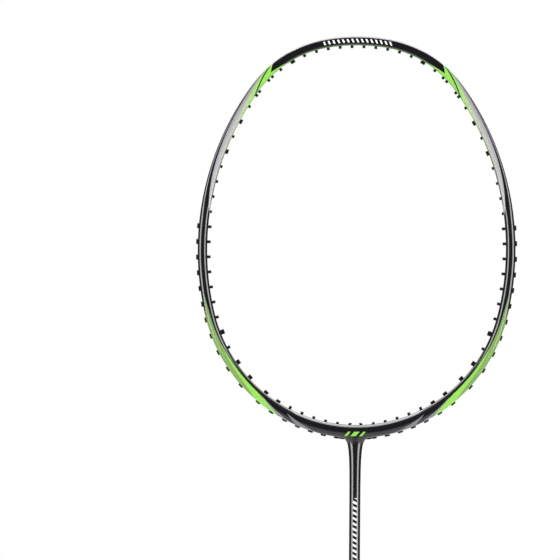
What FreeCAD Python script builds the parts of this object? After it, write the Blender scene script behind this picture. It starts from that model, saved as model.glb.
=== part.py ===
import FreeCAD, Part
import functools
import math
import os
import re

import Sketcher
from FreeCAD import Placement, Rotation, Vector

# An unstrung badminton racket, upright, with the middle of its butt on the origin.
# X runs across the head, Y through it (the head's opening looks along Y), Z up the shaft.
# Lengths are in millimetres, and the sheet's turns and tilts are in degrees.

SIZES = {
    # outer edge of the head, a chain of arcs from the top centre down each side
    "overall_length": 675,
    "top_radius": 121.4,
    "top_turn": 9.0,
    "shoulder_radius": 73.5,
    "shoulder_turn": 45.1,
    "flank_radius": 178.1,
    "flank_turn": 50.1,
    "lower_radius": 100.7,
    "lower_turn": 65.1,
    # the frame's tube: the inner edge is raised, so the tube is thin on top, thick below, and
    # the inner edge's lower arcs are tighter by the swell, so it is thickest at the throat
    "band_width": 6.0,
    "band_lift": 0.6,
    "band_depth": 10.5,
    "throat_swell": 2.6,
    "band_round": 2.5,
    "outer_wall": 2.4,
    "inner_wall": 1.2,
    "hollow_depth": 7.7,
    # string groove in the outer wall of the head's upper part
    "groove_depth": 1.4,
    "groove_width": 3.4,
    "groove_turn": 29,
    "groove_ramp": 45,
    "ramp_length": 5,
    "neck_length": 36,
    # string holes and the grommets that line them
    "main_pitch": 7.6,
    "cross_pitch": 9.6,
    "cross_start": 6.2,
    "hole_radius": 1.0,
    "barrel_radius": 0.95,
    "bore_radius": 0.55,
    "wide_stretch": 1.2,
    "barrel_reach": 1.5,
    "flange_length": 3.4,
    "flange_width": 2.6,
    "flange_height": 1.1,
    "flange_round": 0.35,
    "throat_tilt": -4,
    "neck_tilt": 25,
    # T joint and shaft
    "joint_gap": 0.3,
    "joint_reach": 10,
    "shaft_radius": 3.5,
    "shaft_bore": 2.5,
    "shaft_bottom": 60,
    "stem_overlap": 25,
    # wooden handle core: an octagon that flares at the butt, with a round tenon on top
    "core_width": 22.6,
    "core_thickness": 20.8,
    "core_bevel": 6.2,
    "core_top": 165,
    "flare_top": 20,
    "flare_middle": 9,
    "flare_spread": 2.5,
    "tenon_radius": 8.5,
    "tenon_height": 12,
    "core_hollow": 6,
    # butt cap and its badge
    "cap_thickness": 3,
    "cap_spread": 1.8,
    "cap_edge": 0.8,
    "spigot_radius": 5.9,
    "spigot_height": 8,
    "badge_radius": 8.5,
    "badge_thickness": 0.6,
    "badge_inset": 0.1,
    # cone, grip, finishing tape and staple
    "cone_base": 10.3,
    "cone_waist": 7.2,
    "cone_tip": 4.6,
    "cone_height": 42,
    "grip_thickness": 1.7,
    "grip_top": 168,
    "tape_bottom": 153,
    "tape_thickness": 0.35,
    "staple_width": 7,
    "staple_wire": 0.8,
    "staple_crown": 0.5,
    "staple_leg": 4,
    "staple_level": 30,
}

# ---------------------------------------------------------------- sheet and helpers

doc = FreeCAD.newDocument("badminton_racket")
sheet = doc.addObject("Spreadsheet::Sheet", "Sizes")
reading = doc.addObject("Part::Vertex", "reading")  # takes a value from the sheet at a time


def add_size(alias, value):
    """One row of the sheet: the name in column A, the number in column B."""
    row = len(sheet.getUsedCells()) // 2 + 1
    sheet.set(f"A{row}", alias)
    sheet.set(f"B{row}", repr(value))
    sheet.setAlias(f"B{row}", alias)
    doc.recompute([sheet])


def on_sheet(expression):
    """Expression with the sheet's name before each alias, all of which have an underscore."""
    return re.sub(r"[a-z]+(_[a-z]+)+", r"Sizes.\g<0>", expression)


def bind(item, **properties):
    """Bind properties to expressions; a double underscore in a name stands for a dot."""
    for name, expression in properties.items():
        item.setExpression(name.replace("__", "."), on_sheet(expression))


@functools.cache
def size(expression):
    """Number that an expression of the sheet's aliases gives."""
    bind(reading, X=expression)
    doc.recompute([reading])
    return reading.X.Value


def new_body(label):
    body = doc.addObject("PartDesign::Body", label)
    body.Label = label
    return body


def new_sketch(body, name, role, height=None):
    """Sketch on one of the body's origin planes, raised by an expression if one is given."""
    plane = next(item for item in body.Origin.OriginFeatures if item.Role == role)
    sketch = body.newObject("Sketcher::SketchObject", name)
    sketch.AttachmentSupport = (plane, [""])
    sketch.MapMode = "FlatFace"
    if height:
        bind(sketch, AttachmentOffset__Base__z=height)
    return sketch


def constrain(sketch, *arguments, to=None):
    """Add a constraint, and bind its value to the expression ``to`` if it has one."""
    if to is None:
        return sketch.addConstraint(Sketcher.Constraint(*arguments))
    value = size(to)
    if arguments[0] == "Angle":
        value = math.radians(value)
    index = sketch.addConstraint(Sketcher.Constraint(*arguments, value))
    sketch.setExpression(f"Constraints[{index}]", on_sheet(to))
    return index


def add_feature(body, kind, name, profile, side="One side", **properties):
    """Pad or pocket of a sketch, at the body's tip."""
    item = body.newObject("PartDesign::" + kind, name)
    item.Profile = profile
    item.SideType = side
    bind(item, **properties)
    doc.recompute()
    return item


def round_faces(body, name, base, radius, chosen):
    """Fillet every edge of the base's faces that ``chosen`` picks."""
    faces = [f"Face{n}" for n, face in enumerate(base.Shape.Faces, start=1) if chosen(face)]
    item = body.newObject("PartDesign::Fillet", name)
    item.Base = (base, faces)
    bind(item, Radius=radius)
    doc.recompute()
    return item


def add_arc(sketch, centre_x, centre_y, radius, low, high):
    circle = Part.Circle(Vector(centre_x, centre_y, 0), Vector(0, 0, 1), radius)
    return sketch.addGeometry(Part.ArcOfCircle(circle, low, high))


def add_line(sketch, start, end):
    return sketch.addGeometry(Part.LineSegment(start, end))


def add_circle(sketch, radius):
    """Circle about the sketch's origin."""
    circle = sketch.addGeometry(Part.Circle(Vector(), Vector(0, 0, 1), size(radius)))
    constrain(sketch, "Coincident", circle, 3, -1, 1)
    constrain(sketch, "Radius", circle, to=radius)


def boolean(kind, label, base, tool):
    """Part::Cut or Part::Fuse of two objects."""
    item = doc.addObject("Part::" + kind, label)
    item.Label = label
    item.Base = base
    item.Tool = tool
    return item


def compound(label, links):
    item = doc.addObject("Part::Compound", label)
    item.Label = label
    item.Links = links
    return item


# ---------------------------------------------------------------- the head's outline
# Each side of the outer edge turns half a circle from the top centre to the throat. The
# throat's arc closes the chain on the centre line, so its radius and turn follow from it.

SIDE_ARCS = ["top", "shoulder", "flank", "lower"]


def side_arcs(inset=0.0, lift=0.0, swell=0.0):
    """Right-hand arcs, top to throat: centre x and z, radius, start and end heading."""
    x, z, heading = 0.0, size("overall_length") - inset + lift, 0.0
    arcs = []
    for name in SIDE_ARCS:
        radius = size(name + "_radius") - inset - (swell if name == "lower" else 0.0)
        end = heading + math.radians(size(name + "_turn"))
        centre_x = x - math.sin(heading) * radius
        centre_z = z - math.cos(heading) * radius
        arcs.append((centre_x, centre_z, radius, heading, end))
        x = centre_x + math.sin(end) * radius
        z = centre_z + math.cos(end) * radius
        heading = end
    radius = x / math.sin(heading)
    arcs.append((0.0, z - math.cos(heading) * radius, radius, heading, math.pi))
    return arcs


for name, value in SIZES.items():
    add_size(name, value)
_, throat_centre, throat_radius, throat_start, _ = side_arcs()[-1]
add_size("throat_radius", throat_radius)
add_size("throat_turn", math.degrees(math.pi - throat_start))
add_size("head_height", size("overall_length") - throat_centre + throat_radius)


def outline_at(heading):
    """Point of the outer edge whose outward normal has this heading, and the normal."""
    for centre_x, centre_z, radius, _, end in side_arcs():
        if heading <= end:
            break
    normal = Vector(math.sin(heading), 0, math.cos(heading))
    return Vector(centre_x, 0, centre_z) + normal * radius, normal


def add_side_arcs(sketch, inset, lift, swell="0", last="lower", last_turn="lower_turn"):
    """Top arc and the arcs down both sides, as far as the arc called ``last``.

    The arcs lie ``inset`` inside the outer edge and are raised by ``lift``, and the lower
    ones are tighter by ``swell``. Gives the lowest arc on the right, whose point 1 is its
    lower end, and on the left, whose point 2 is."""
    quarter = math.pi / 2
    arcs = side_arcs(size(inset), size(lift), size(swell))
    _, centre_z, radius, _, turn = arcs[0]
    top = add_arc(sketch, 0, centre_z, radius, quarter - turn, quarter + turn)
    constrain(sketch, "PointOnObject", top, 3, -2)
    height = f"overall_length - top_radius + ({lift})"
    constrain(sketch, "DistanceY", -1, 1, top, 3, to=height)
    constrain(sketch, "Radius", top, to=f"top_radius - ({inset})")
    constrain(sketch, "Angle", top, to="2 * top_turn")
    constrain(sketch, "Horizontal", top, 1, top, 2)
    right, left = top, top
    for name, (centre_x, centre_z, radius, start, end) in zip(SIDE_ARCS[1:], arcs[1:]):
        turn = last_turn if name == last else name + "_turn"
        end = start + math.radians(size(turn))
        below = add_arc(sketch, centre_x, centre_z, radius, quarter - end, quarter - start)
        constrain(sketch, "Tangent", right, 1, below, 2)
        mirrored = add_arc(sketch, -centre_x, centre_z, radius, quarter + start, quarter + end)
        constrain(sketch, "Tangent", left, 2, mirrored, 1)
        radius_text = f"{name}_radius - ({inset})" + (f" - {swell}" if name == "lower" else "")
        for arc in (below, mirrored):
            constrain(sketch, "Radius", arc, to=radius_text)
            constrain(sketch, "Angle", arc, to=turn)
        right, left = below, mirrored
        if name == last:
            return right, left


def add_head_loop(sketch, inset, lift="0", swell="0"):
    """Closed outline of the head, inset from its outer edge, raised and tightened below."""
    right, left = add_side_arcs(sketch, inset, lift, swell)
    _, centre_z, radius, start, end = side_arcs(size(inset), size(lift), size(swell))[-1]
    bottom = -math.pi / 2
    turn = end - start
    throat = add_arc(sketch, 0, centre_z, radius, bottom - turn, bottom + turn)
    constrain(sketch, "Tangent", right, 1, throat, 2)
    constrain(sketch, "Coincident", left, 2, throat, 1)


# ---------------------------------------------------------------- head frame
# One moulded hollow tube: a band between two outlines, rounded along its edges, hollowed,
# and grooved outside over its upper part, where the strings lie flush.


def build_band():
    body = new_body("head_band")
    outline = new_sketch(body, "band_outline", "XZ_Plane")
    add_head_loop(outline, "0")
    add_head_loop(outline, "band_width", "band_lift", "throat_swell")
    band = add_feature(body, "Pad", "band", outline, "Symmetric", Length="band_depth")
    round_faces(body, "band_rounding", band, "band_round",
                lambda face: face.BoundBox.YLength < 0.01)

    core = new_sketch(body, "hollow_outline", "XZ_Plane")
    add_head_loop(core, "outer_wall")
    add_head_loop(core, "band_width - inner_wall", "band_lift", "throat_swell")
    add_feature(body, "Pocket", "band_hollow", core, "Symmetric", Length="hollow_depth")

    around = new_sketch(body, "groove_outline", "XZ_Plane")
    draw_groove(around)
    add_feature(body, "Pocket", "string_groove", around, "Symmetric", Length="groove_width")
    return body


def draw_groove(sketch):
    """Region outside the groove's floor, with a ramp out of the wall at both ends."""
    ends = add_side_arcs(sketch, "groove_depth", "0", last="flank", last_turn="groove_turn")
    slope = "groove_ramp - top_turn - shoulder_turn - groove_turn"
    angle = math.radians(size(slope))
    ramp = Vector(math.cos(angle), math.sin(angle), 0) * size("ramp_length")
    side, top = size("2 * shoulder_radius"), size("overall_length + shoulder_radius")
    start = sketch.getPoint(ends[0], 1)
    turns = [start, start + ramp, Vector(side, (start + ramp).y, 0), Vector(side, top, 0)]
    turns += [Vector(-point.x, point.y, 0) for point in reversed(turns)]
    lines = [add_line(sketch, *pair) for pair in zip(turns[:-1], turns[1:])]
    constrain(sketch, "Coincident", ends[0], 1, lines[0], 1)
    constrain(sketch, "Coincident", ends[1], 2, lines[-1], 2)
    constrain(sketch, "Angle", lines[0], to=slope)
    constrain(sketch, "Angle", lines[-1], to=f"-({slope})")
    for before, after in zip(lines[:-1], lines[1:]):
        constrain(sketch, "Coincident", before, 2, after, 1)
    for line in (lines[0], lines[-1]):
        constrain(sketch, "Distance", line, to="ramp_length")
    for line in lines[1:-1:2]:
        constrain(sketch, "Horizontal", line)
    for line in lines[2:-1:2]:
        constrain(sketch, "Vertical", line)
    ceiling = lines[3]
    constrain(sketch, "DistanceY", -1, 1, ceiling, 1, to="overall_length + shoulder_radius")
    constrain(sketch, "DistanceX", -1, 1, ceiling, 1, to="2 * shoulder_radius")
    constrain(sketch, "DistanceX", ceiling, 2, -1, 1, to="2 * shoulder_radius")


# Distances of the neck's sections below the head's outer edge; the first lie inside the band.
NECK_LEVELS = [-3, -1, 1, 4, 9, 18]


def build_neck():
    """The throat narrows into the round shaft: quickly across, slowly front to back."""
    sections = []
    for level in NECK_LEVELS:
        across = f"shaft_radius + 2.4 * exp(-({level}) / 7) + 0.9 * exp(-({level}) / 1.3)"
        through = f"shaft_radius + 1.22 * exp(-({level}) / 9)"
        sections.append((str(level), across, through))
    sections.append(("neck_length", "shaft_radius", "shaft_radius"))
    ellipses = []
    for number, (level, across, through) in enumerate(sections, start=1):
        ellipse = doc.addObject("Part::Ellipse", f"neck_section_{number}")
        bind(ellipse, MajorRadius=across, MinorRadius=through)
        bind(ellipse, Placement__Base__z=f"overall_length - head_height - ({level})")
        ellipses.append(ellipse)
    neck = doc.addObject("Part::Loft", "neck")
    neck.Sections = ellipses
    neck.Solid = True
    neck.MaxDegree = 3
    return neck


# ---------------------------------------------------------------- T joint and shaft


def build_t_joint():
    """Crossbar that follows the throat inside the tube, and a stem down into the shaft."""
    body = new_body("t_joint_blank")
    bar = new_sketch(body, "crossbar_outline", "XZ_Plane")
    outer = "throat_radius - outer_wall - joint_gap"
    inner = "throat_radius - band_width + inner_wall - joint_gap - throat_swell / 2"
    draw_crossbar(bar, outer, inner)
    length = "hollow_depth - 2 * joint_gap"
    add_feature(body, "Pad", "crossbar", bar, "Symmetric", Length=length)
    height = "overall_length - head_height + outer_wall + 2 * joint_gap"
    ring = new_sketch(body, "stem_outline", "XY_Plane", height)
    add_circle(ring, "shaft_bore")
    length = "outer_wall + 2 * joint_gap + neck_length + stem_overlap"
    stem = add_feature(body, "Pad", "stem", ring, Length=length)
    stem.Reversed = True
    return body


def draw_crossbar(sketch, outer, inner):
    """Curved strip about the throat's centre, between two radii."""
    centre = Vector(0, throat_centre, 0)
    reach = math.radians(size("joint_reach"))
    angles = (-math.pi / 2 - reach, -math.pi / 2 + reach)
    arcs = [add_arc(sketch, 0, throat_centre, size(radius), *angles) for radius in (outer, inner)]
    for angle, point in zip(angles, (1, 2)):
        ray = Vector(math.cos(angle), math.sin(angle), 0)
        side = add_line(sketch, centre + ray * size(outer), centre + ray * size(inner))
        constrain(sketch, "Coincident", arcs[0], point, side, 1)
        constrain(sketch, "Coincident", arcs[1], point, side, 2)
    for arc, radius in zip(arcs, (outer, inner)):
        constrain(sketch, "Radius", arc, to=radius)
        constrain(sketch, "Angle", arc, to="2 * joint_reach")
        constrain(sketch, "Horizontal", arc, 1, arc, 2)
    constrain(sketch, "Coincident", arcs[0], 3, arcs[1], 3)
    constrain(sketch, "PointOnObject", arcs[0], 3, -2)
    height = "overall_length - head_height + throat_radius"
    constrain(sketch, "DistanceY", -1, 1, arcs[0], 3, to=height)


def build_shaft():
    """Thin tube from inside the handle up to the neck."""
    body = new_body("shaft")
    ring = new_sketch(body, "shaft_ring", "XY_Plane", "shaft_bottom")
    add_circle(ring, "shaft_radius")
    add_circle(ring, "shaft_bore")
    length = "overall_length - head_height - neck_length - shaft_bottom"
    add_feature(body, "Pad", "shaft_tube", ring, Length=length)
    return body


# ---------------------------------------------------------------- grommets
# A nylon grommet lines each hole of the head: a flange outside, a barrel through the tube
# and a string bore. Each kind is drawn once, in place at the origin, and laid out by links.


def add_slot(sketch, radius, stretch):
    """Round-ended slot along the sketch's X axis, or a circle if it has no stretch."""
    if stretch is None:
        add_circle(sketch, radius)
        return
    half, width, quarter = size(stretch) / 2, size(radius), math.pi / 2
    right = add_arc(sketch, half, 0, width, -quarter, quarter)
    left = add_arc(sketch, -half, 0, width, quarter, 3 * quarter)
    upper = add_line(sketch, Vector(half, width, 0), Vector(-half, width, 0))
    lower = add_line(sketch, Vector(-half, -width, 0), Vector(half, -width, 0))
    constrain(sketch, "Tangent", right, 2, upper, 1)
    constrain(sketch, "Tangent", upper, 2, left, 1)
    constrain(sketch, "Tangent", left, 2, lower, 1)
    constrain(sketch, "Tangent", lower, 2, right, 1)
    constrain(sketch, "PointOnObject", right, 3, -1)
    constrain(sketch, "Symmetric", right, 3, left, 3, -1, 1)
    constrain(sketch, "Radius", right, to=radius)
    constrain(sketch, "DistanceX", left, 3, right, 3, to=stretch)


def build_grommet(label, barrel, stretch=None, tilt=None):
    """Grommet whose flange stands on the XY plane and whose barrel goes down.

    ``barrel`` is the barrel's length, ``stretch`` makes it and its bore longer along X for
    two strings, and ``tilt`` leans its lower end towards X."""
    body = new_body(label)
    lean = math.radians(size(tilt)) if tilt else 0.0
    down = Vector(math.sin(lean), 0, -math.cos(lean))
    seat = new_sketch(body, label + "_seat", "XY_Plane")
    add_slot(seat, "flange_width / 2", "flange_length - flange_width")
    flange = add_feature(body, "Pad", label + "_flange", seat, Length="flange_height")
    round_faces(body, label + "_rounding", flange, "flange_round",
                lambda face: face.CenterOfMass.z > 0.99 * size("flange_height"))
    tube = new_sketch(body, label + "_tube", "XY_Plane")
    add_slot(tube, "barrel_radius", stretch)
    add_along(body, "Pad", label + "_barrel", tube, down, "One side", barrel)
    hole = new_sketch(body, label + "_hole", "XY_Plane")
    add_slot(hole, "bore_radius", stretch)
    add_along(body, "Pocket", label + "_bore", hole, down, "Symmetric", "3 * band_depth")
    return body


def add_along(body, kind, name, profile, direction, side, length):
    """Pad or pocket along a direction of its own, not square to its sketch."""
    item = body.newObject("PartDesign::" + kind, name)
    item.Profile = profile
    item.SideType = side
    item.UseCustomVector = True
    item.AlongSketchNormal = False
    item.Direction = direction
    bind(item, Length=length)
    doc.recompute()


def build_drill(label, stretch=None):
    """Cutter for one hole of the tube, from outside the frame into the head."""
    body = new_body(label)
    outline = new_sketch(body, label + "_outline", "XY_Plane", "-band_depth - barrel_reach")
    add_slot(outline, "hole_radius", stretch)
    length = "band_depth + barrel_reach + 2 * flange_height"
    add_feature(body, "Pad", label + "_pad", outline, Length=length)
    return body


def groove_at(heading):
    """Depth of the string groove where the outer edge's normal has this heading."""
    end = math.radians(size("top_turn + shoulder_turn + groove_turn"))
    return size("groove_depth") if heading < end else 0.0


def tube_width(heading):
    """Width of the tube across the head where the outer edge's normal has this heading."""
    lower_start = math.radians(size("top_turn + shoulder_turn + flank_turn"))
    swell = size("throat_swell") * (1 - math.cos(max(heading - lower_start, 0.0)))
    return size("band_width") - size("band_lift") * math.cos(heading) + swell


def hole_axis(heading, tilt):
    """Start on the outer edge, outward direction and inner end of a hole through the tube."""
    start, _ = outline_at(heading)
    lean = heading - math.radians(tilt)
    outward = Vector(math.sin(lean), 0, math.cos(lean))
    length = tube_width(heading) / math.cos(math.radians(tilt))
    return start, outward, start - outward * length


def find_hole(string, level, tilt):
    """Heading of the hole on the right whose inner end lies on a string's line.

    A string is a main over the top or the bottom of the head, at x = level, or a cross, at
    z = level above the head's middle."""
    middle = size("overall_length") - size("head_height") / 2
    low, high = {"top": (0.0, 1.3), "bottom": (1.9, math.pi), "cross": (0.0, math.pi)}[string]
    for _ in range(40):
        heading = (low + high) / 2
        end = hole_axis(heading, tilt)[2]
        ahead = {"top": level - end.x, "bottom": end.x - level, "cross": end.z - middle - level}
        if ahead[string] > 0:
            low = heading
        else:
            high = heading
    return heading


# The kinds of grommet: barrel length, stretch and tilt.
KINDS = {
    "grommet_sunk": ("band_width - band_lift / 2 - groove_depth + barrel_reach", None, None),
    "grommet_sunk_wide": ("band_width - groove_depth + barrel_reach", "wide_stretch", None),
    "grommet_plain": (
        "band_width + band_lift / 2 + throat_swell / 8 + barrel_reach", None, None),
    "grommet_wide": (
        "band_width + band_lift + throat_swell / 4 + barrel_reach", "wide_stretch", None),
    "grommet_throat": (
        "band_width + band_lift + throat_swell / 2 + barrel_reach", None, "throat_tilt"),
    "grommet_neck": (
        "(band_width + band_lift + throat_swell * 2 / 3) / cos(neck_tilt * 1 deg) + barrel_reach",
        None, "neck_tilt"),
}

# Each group: its kind and the strings it serves, counted outwards from the centre line for
# mains, and upwards from the head's middle for crosses. "pair" groups hold both sides.
GROUPS = [
    ("grommets_crown", "pair", "grommet_sunk", [("top", n) for n in range(5)]),
    ("wide_grommets_crown", "pair", "grommet_sunk_wide", [("top", 5)]),
    ("grommets_shoulder", "sides", "grommet_sunk",
     [("top", n) for n in (6, 7, 8)] + [("cross", n) for n in (10, 9, 8)]),
    ("wide_grommets_shoulder", "sides", "grommet_sunk_wide", [("cross", 7), ("cross", 5)]),
    ("grommets_upper_side", "sides", "grommet_sunk", [("cross", n) for n in (6, 4, 3, 2, 1)]),
    ("grommets_side", "sides", "grommet_plain",
     [("cross", n) for n in (0, -1, -2, -3, -4, -5, -6, -8)]),
    ("wide_grommets_lower", "sides", "grommet_wide",
     [("cross", n) for n in (-7, -9, -10, -11)] + [("bottom", 6)]),
    ("grommets_throat", "sides", "grommet_throat", [("bottom", n) for n in range(5, 0, -1)]),
    ("grommets_neck", "pair", "grommet_neck", [("bottom", 0)]),
]


def string_level(string, number):
    if string == "cross":
        return size("cross_start") + size("cross_pitch") * number
    return size("main_pitch") * (number + 0.5)


def place_link(name, source, point, along, outward):
    """Link to a part drawn at the origin, with its X laid along and its Z outward."""
    link = doc.addObject("App::Link", name)
    link.LinkedObject = source
    turn = Rotation(along, outward.cross(along), outward, "ZXY")
    link.Placement = Placement(point, turn)
    return link


def lay_out_grommets(kinds, drills):
    """Links of every group's grommets, and of the drill for each hole."""
    groups, cutters = {}, []
    for group, sides, kind, strings in GROUPS:
        _, stretch, tilt = KINDS[kind]
        tilt = size(tilt) if tilt else 0.0
        for string, number in strings:
            heading = find_hole(string, string_level(string, number), tilt)
            start, outward, _ = hole_axis(heading, tilt)
            seat, normal = outline_at(heading)
            seat -= normal * groove_at(heading)
            for side, sign in (("right", 1), ("left", -1)):
                label = group if sides == "pair" else f"{group}_{side}"
                seat, normal, start, outward = [
                    Vector(sign * abs(item.x), 0, item.z) for item in (seat, normal, start, outward)
                ]
                links = groups.setdefault(label, [])
                name = f"{label}_{len(links) + 1}"
                links.append(place_grommet(name, kinds[kind], seat, normal, sign))
                along = Vector(outward.z, 0, -outward.x)
                drill = drills[stretch is not None]
                cutters.append(place_link("hole_" + name, drill, start, along, outward))
    return groups, cutters


def place_grommet(name, source, seat, normal, sign):
    """Grommet on its seat, its X pointing down the frame on either side of the head."""
    along = Vector(normal.z, 0, -normal.x) * sign
    return place_link(name, source, seat, along, normal)


# ---------------------------------------------------------------- handle


def add_octagon(sketch, grown):
    """Octagon of the handle core, grown by an expression on every side."""
    half_x = f"core_width / 2 + {grown}"
    half_y = f"core_thickness / 2 + {grown}"
    flat_x = f"core_width / 2 - core_bevel + 0.414 * ({grown})"
    flat_y = f"core_thickness / 2 - core_bevel + 0.414 * ({grown})"
    wide, deep, flat_wide, flat_deep = (size(text) for text in (half_x, half_y, flat_x, flat_y))
    quadrant = [(flat_wide, -deep), (wide, -flat_deep), (wide, flat_deep), (flat_wide, deep)]
    corners = [Vector(x, y, 0) for x, y in quadrant]
    corners += [Vector(-x, y, 0) for x, y in reversed(quadrant)]
    lines = [add_line(sketch, *pair) for pair in zip(corners, corners[1:] + corners[:1])]
    for before, after in zip(lines, lines[1:] + lines[:1]):
        constrain(sketch, "Coincident", before, 2, after, 1)
    right, back, left, front = lines[1], lines[3], lines[5], lines[7]
    for line, axis in ((right, -1), (back, -2), (left, -1), (front, -2)):
        constrain(sketch, "Symmetric", line, 1, line, 2, axis)
    constrain(sketch, "DistanceX", -1, 1, right, 1, to=half_x)
    constrain(sketch, "DistanceX", left, 1, -1, 1, to=half_x)
    constrain(sketch, "DistanceY", -1, 1, back, 1, to=half_y)
    constrain(sketch, "DistanceY", front, 1, -1, 1, to=half_y)
    constrain(sketch, "DistanceY", -1, 1, right, 2, to=flat_y)
    constrain(sketch, "DistanceY", -1, 1, left, 1, to=flat_y)
    constrain(sketch, "DistanceX", -1, 1, back, 1, to=flat_x)
    constrain(sketch, "DistanceX", -1, 1, front, 2, to=flat_x)


def build_handle_form(label, grown, top):
    """Solid octagon from the butt to ``top``, flared at the butt, grown on every side."""
    body = new_body(label)
    levels = [
        ("0", f"flare_spread + {grown}"),
        ("flare_middle", f"0.35 * flare_spread + {grown}"),
        ("flare_top", grown),
    ]
    sections = []
    for number, (height, spread) in enumerate(levels, start=1):
        section = new_sketch(body, f"{label}_section_{number}", "XY_Plane", height)
        add_octagon(section, spread)
        sections.append(section)
    flare = body.newObject("PartDesign::AdditiveLoft", label + "_flare")
    flare.Profile = sections[0]
    flare.Sections = sections[1:]
    doc.recompute()
    straight = new_sketch(body, label + "_straight", "XY_Plane", "flare_top")
    add_octagon(straight, grown)
    add_feature(body, "Pad", label + "_length", straight, Length=f"{top} - flare_top")
    return body


def build_core():
    """Wooden core: the handle's form above the cap, a round tenon on top, bored for the shaft."""
    body = build_handle_form("core_blank", "0 * core_width", "core_top")
    seat = new_sketch(body, "cap_seat_outline", "XY_Plane")
    add_circle(seat, "core_width")
    add_feature(body, "Pocket", "cap_seat", seat, Length="cap_thickness").Reversed = True
    tenon = new_sketch(body, "tenon_outline", "XY_Plane", "core_top")
    add_circle(tenon, "tenon_radius")
    add_feature(body, "Pad", "tenon", tenon, Length="tenon_height")
    bore = new_sketch(body, "core_bore_outline", "XY_Plane", "core_top + tenon_height")
    add_circle(bore, "shaft_radius")
    add_feature(body, "Pocket", "core_bore", bore, Length="core_top + tenon_height")
    hollow = new_sketch(body, "core_hollow_outline", "XY_Plane", "shaft_bottom")
    add_circle(hollow, "core_hollow")
    add_feature(body, "Pocket", "core_hollow", hollow, Length="shaft_bottom")
    return body


def build_butt_cap():
    """Octagonal plate that closes the butt, with a spigot into the core and a badge's recess."""
    body = new_body("butt_cap")
    plate = new_sketch(body, "cap_outline", "XY_Plane")
    add_octagon(plate, "cap_spread")
    pad = add_feature(body, "Pad", "cap_plate", plate, Length="cap_thickness")
    round_faces(body, "cap_rounding", pad, "cap_edge", lambda face: face.CenterOfMass.z < 0.01)
    spigot = new_sketch(body, "spigot_outline", "XY_Plane", "cap_thickness")
    add_circle(spigot, "spigot_radius")
    add_feature(body, "Pad", "cap_spigot", spigot, Length="spigot_height")
    recess = new_sketch(body, "recess_outline", "XY_Plane")
    add_circle(recess, "badge_radius")
    length = "badge_thickness + badge_inset"
    add_feature(body, "Pocket", "badge_recess", recess, Length=length).Reversed = True
    return body


def build_badge():
    body = new_body("butt_badge")
    disc = new_sketch(body, "badge_outline", "XY_Plane", "badge_inset")
    add_circle(disc, "badge_radius")
    add_feature(body, "Pad", "badge_disc", disc, Length="badge_thickness")
    return body


def build_cone():
    """Turned cone over the tenon: its side curves in from the handle to the shaft."""
    body = new_body("cone_cap")
    profile = new_sketch(body, "cone_profile", "XZ_Plane")
    base, top = "core_top", "core_top + cone_height"
    points = [
        ("shaft_radius", top),
        ("shaft_radius", "core_top + tenon_height"),
        ("tenon_radius", "core_top + tenon_height"),
        ("tenon_radius", base),
        ("cone_base", base),
        ("cone_base", "core_top + cone_height / 5"),
        ("cone_waist", "core_top + cone_height * 0.55"),
        ("cone_tip", top),
    ]
    places = [Vector(size(x), size(z), 0) for x, z in points]
    side = Part.BSplineCurve()
    side.interpolate(places[5:])
    lines = [add_line(profile, *pair) for pair in zip(places[:5], places[1:6])]
    curve = profile.addGeometry(side)
    profile.exposeInternalGeometry(curve)
    lip = add_line(profile, places[7], places[0])
    for before, after in zip(lines[:-1], lines[1:]):
        constrain(profile, "Coincident", before, 2, after, 1)
    for line, (x, z) in zip(lines, points):
        constrain(profile, "DistanceX", -1, 1, line, 1, to=x)
        constrain(profile, "DistanceY", -1, 1, line, 1, to=z)
    constrain(profile, "Coincident", lines[-1], 2, curve, 1)
    constrain(profile, "Coincident", curve, 2, lip, 1)
    constrain(profile, "Coincident", lip, 2, lines[0], 1)
    turned = body.newObject("PartDesign::Revolution", "cone_turned")
    turned.Profile = profile
    turned.ReferenceAxis = (profile, ["V_Axis"])
    turned.Angle = 360
    doc.recompute()
    return body


def build_staple():
    """U of flat wire: its crown lies on the core's back flat, its legs go into the wood."""
    body = new_body("grip_staple")
    wire = new_sketch(body, "staple_outline", "XY_Plane", "staple_level")
    half = size("staple_width / 2")
    face = size("core_thickness / 2")
    crown, leg, width = size("staple_crown"), size("staple_leg"), size("staple_wire")
    corners = [
        (-half, face + crown), (-half, face - leg), (width - half, face - leg),
        (width - half, face), (half - width, face), (half - width, face - leg),
        (half, face - leg), (half, face + crown),
    ]
    places = [Vector(x, y, 0) for x, y in corners]
    lines = [add_line(wire, *pair) for pair in zip(places, places[1:] + places[:1])]
    for before, after in zip(lines, lines[1:] + lines[:1]):
        constrain(wire, "Coincident", before, 2, after, 1)
    for line in lines[0::2]:
        constrain(wire, "Vertical", line)
    for line in lines[1::2]:
        constrain(wire, "Horizontal", line)
    constrain(wire, "DistanceX", lines[0], 1, -1, 1, to="staple_width / 2")
    constrain(wire, "DistanceX", -1, 1, lines[6], 1, to="staple_width / 2")
    constrain(wire, "DistanceX", lines[0], 2, lines[1], 2, to="staple_wire")
    constrain(wire, "DistanceX", lines[4], 2, lines[5], 2, to="staple_wire")
    constrain(wire, "DistanceY", -1, 1, lines[0], 1, to="core_thickness / 2 + staple_crown")
    constrain(wire, "DistanceY", -1, 1, lines[3], 1, to="core_thickness / 2")
    constrain(wire, "DistanceY", -1, 1, lines[0], 2, to="core_thickness / 2 - staple_leg")
    constrain(wire, "DistanceY", -1, 1, lines[4], 2, to="core_thickness / 2 - staple_leg")
    add_feature(body, "Pad", "staple_wire", wire, "Symmetric", Length="staple_wire")
    return body


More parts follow.
